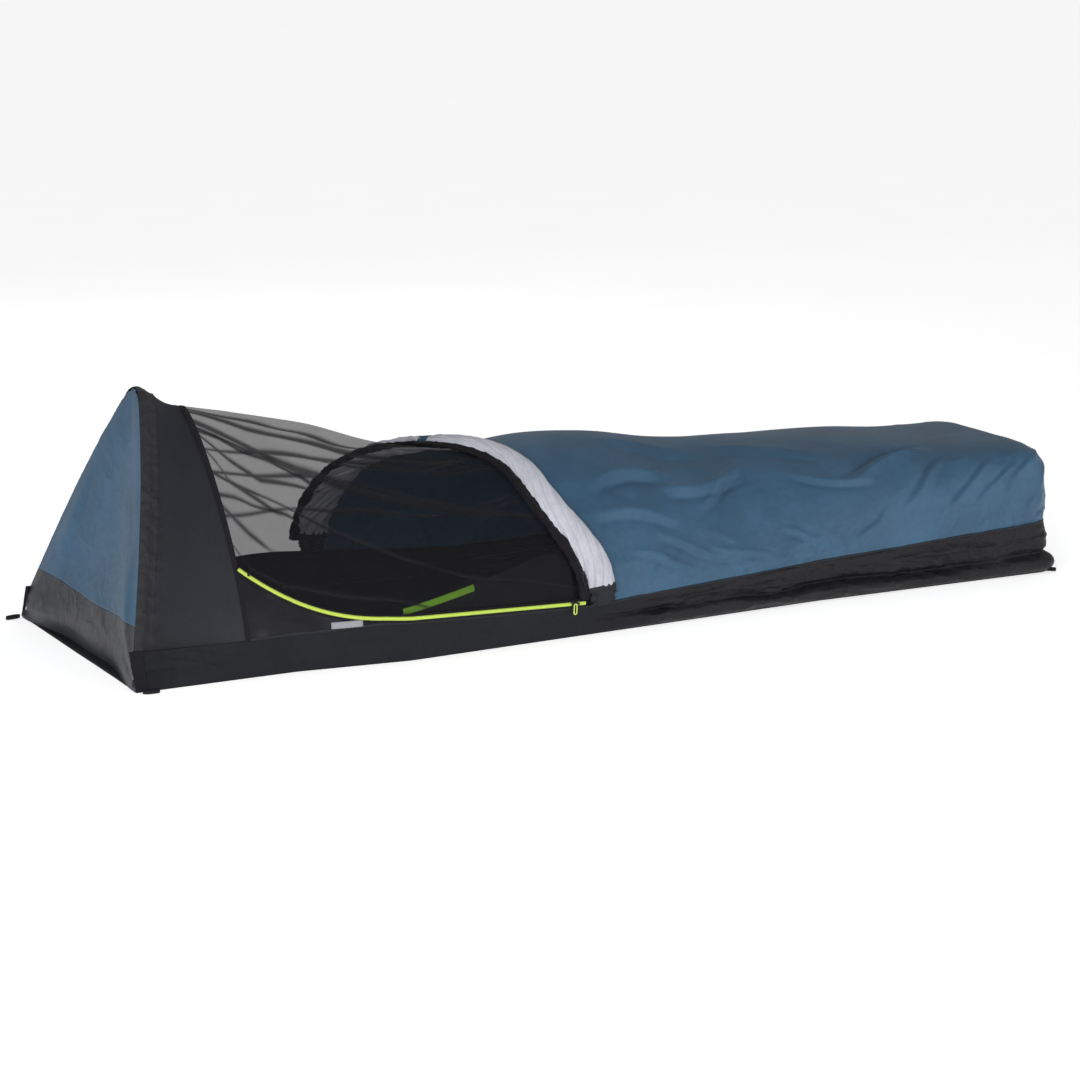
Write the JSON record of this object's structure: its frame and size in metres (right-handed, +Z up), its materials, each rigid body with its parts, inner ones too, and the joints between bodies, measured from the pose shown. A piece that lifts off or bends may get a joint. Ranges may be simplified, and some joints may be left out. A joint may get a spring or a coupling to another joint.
{
  "type": "bivy sack",
  "caption": "One-person bivy sack with a waterproof tub floor, a folding head hoop, a zipped netting door and a storm flap rolled back over the chest.",
  "frame": {"origin": "middle of the floor's underside, on the ground", "axes": "+Z up, +X from the head end to the foot end, -Y the near side with the door zip"},
  "size_m": [2.1282, 0.7183, 0.5056],
  "materials": {
    "tub_fabric": "charcoal coated nylon, creased, faint sheen",
    "shell_fabric": "slate blue coated ripstop, soft satin sheen",
    "hood_fabric": "dark grey smooth coated nylon",
    "netting": "fine black see-through netting",
    "flap_lining": "white coated inner face, pleated by rolling",
    "trim": "black woven webbing and zip tape",
    "zip_coil": "lime moulded nylon coil",
    "pocket_binding": "lime green folded binding tape",
    "pole_alloy": "anodised, satin",
    "black_nylon": "moulded, slightly worn",
    "shock_cord": "woven elastic cord",
    "label": "blank satin care label"
  },
  "bodies": {
    "sack": {"floor_sheet": "tub_fabric", "tub_wall_near": "tub_fabric", "tub_wall_far": "tub_fabric", "tub_wall_foot": "tub_fabric", "shell_canopy": "shell_fabric", "shell_foot_round": "shell_fabric", "shell_foot_end": "shell_fabric", "roll_tie_strap": "shell_fabric", "hood_panel": "hood_fabric", "roll_cuff_near": "hood_fabric", "roll_cuff_far": "hood_fabric", "mesh_canopy": "netting", "mesh_gusset_near": "netting", "pocket_mesh": "netting", "storm_flap_roll": "flap_lining", "hood_binding": "trim", "door_zip_tape": "trim", "storm_zip_tape": "trim", "storm_zip_coil": "trim", "corner_patch_near": "trim", "corner_patch_far": "trim", "pole_seat_near": "trim", "pole_seat_far": "trim", "door_zip_coil": "zip_coil", "pocket_binding": "pocket_binding", "door_zip_stop_head": "black_nylon", "door_zip_stop_foot": "black_nylon", "care_label": "label"},
    "hoop": {"pole_section_1": "pole_alloy", "pole_section_2": "pole_alloy", "pole_section_3": "pole_alloy", "pole_ferrule_1": "pole_alloy", "pole_ferrule_2": "pole_alloy", "pole_tip_near": "black_nylon", "pole_tip_far": "black_nylon", "shock_cord": "shock_cord", "pole_sleeve": "hood_fabric", "head_panel": "shell_fabric", "head_tub_panel": "tub_fabric"},
    "door_slider": {"door_zip_slider": "black_nylon"},
    "door_pull": {"door_zip_pull": "zip_coil"},
    "storm_slider": {"storm_zip_slider": "black_nylon"},
    "storm_pull": {"storm_zip_pull": "black_nylon"},
    "loop_head_near": {"stake_loop_head_near": "trim"},
    "loop_head_far": {"stake_loop_head_far": "trim"},
    "loop_foot_near": {"stake_loop_foot_near": "trim"},
    "loop_foot_far": {"stake_loop_foot_far": "trim"}
  },
  "joints": [
    {"name": "hoop_fold", "type": "hinge", "parent": "sack", "child": "hoop", "pos_m": [-1.04, 0, 0.008], "axis": [0, 1, 0], "range_deg": [0, 58]},
    {"name": "door_zip_slide", "type": "slide", "parent": "sack", "child": "door_slider", "axis": [0.9959, 0.0783, -0.0449], "range_m": [-0.3, 0]},
    {"name": "door_pull_swing", "type": "hinge", "parent": "door_slider", "child": "door_pull", "pos_m": [-0.13201, -0.32115, 0.06809], "axis": [-0.9959, -0.0783, 0.0449], "range_deg": [0, 150]},
    {"name": "storm_zip_slide", "type": "slide", "parent": "sack", "child": "storm_slider", "axis": [-0.0415, 0.321, 0.9462], "range_m": [0, 0.02]},
    {"name": "storm_pull_swing", "type": "hinge", "parent": "storm_slider", "child": "storm_pull", "pos_m": [-0.10812, -0.30915, 0.12323], "axis": [-0.9955, -0.0937, -0.0118], "range_deg": [0, 120]},
    {"name": "loop_head_near_lift", "type": "hinge", "parent": "sack", "child": "loop_head_near", "pos_m": [-1.0327, -0.3445, 0.0043], "axis": [-0.0698, -0.9976, 0], "range_deg": [0, 85]},
    {"name": "loop_head_far_lift", "type": "hinge", "parent": "sack", "child": "loop_head_far", "pos_m": [-1.04705, 0.3281, 0.0043], "axis": [-0.2588, 0.9659, 0], "range_deg": [0, 85]},
    {"name": "loop_foot_near_lift", "type": "hinge", "parent": "sack", "child": "loop_foot_near", "pos_m": [1.02416, -0.23616, 0.0043], "axis": [-0.7071, -0.7071, 0], "range_deg": [0, 85]},
    {"name": "loop_foot_far_lift", "type": "hinge", "parent": "sack", "child": "loop_foot_far", "pos_m": [1.02416, 0.23616, 0.0043], "axis": [0.7071, -0.7071, 0], "range_deg": [0, 85]}
  ]
}
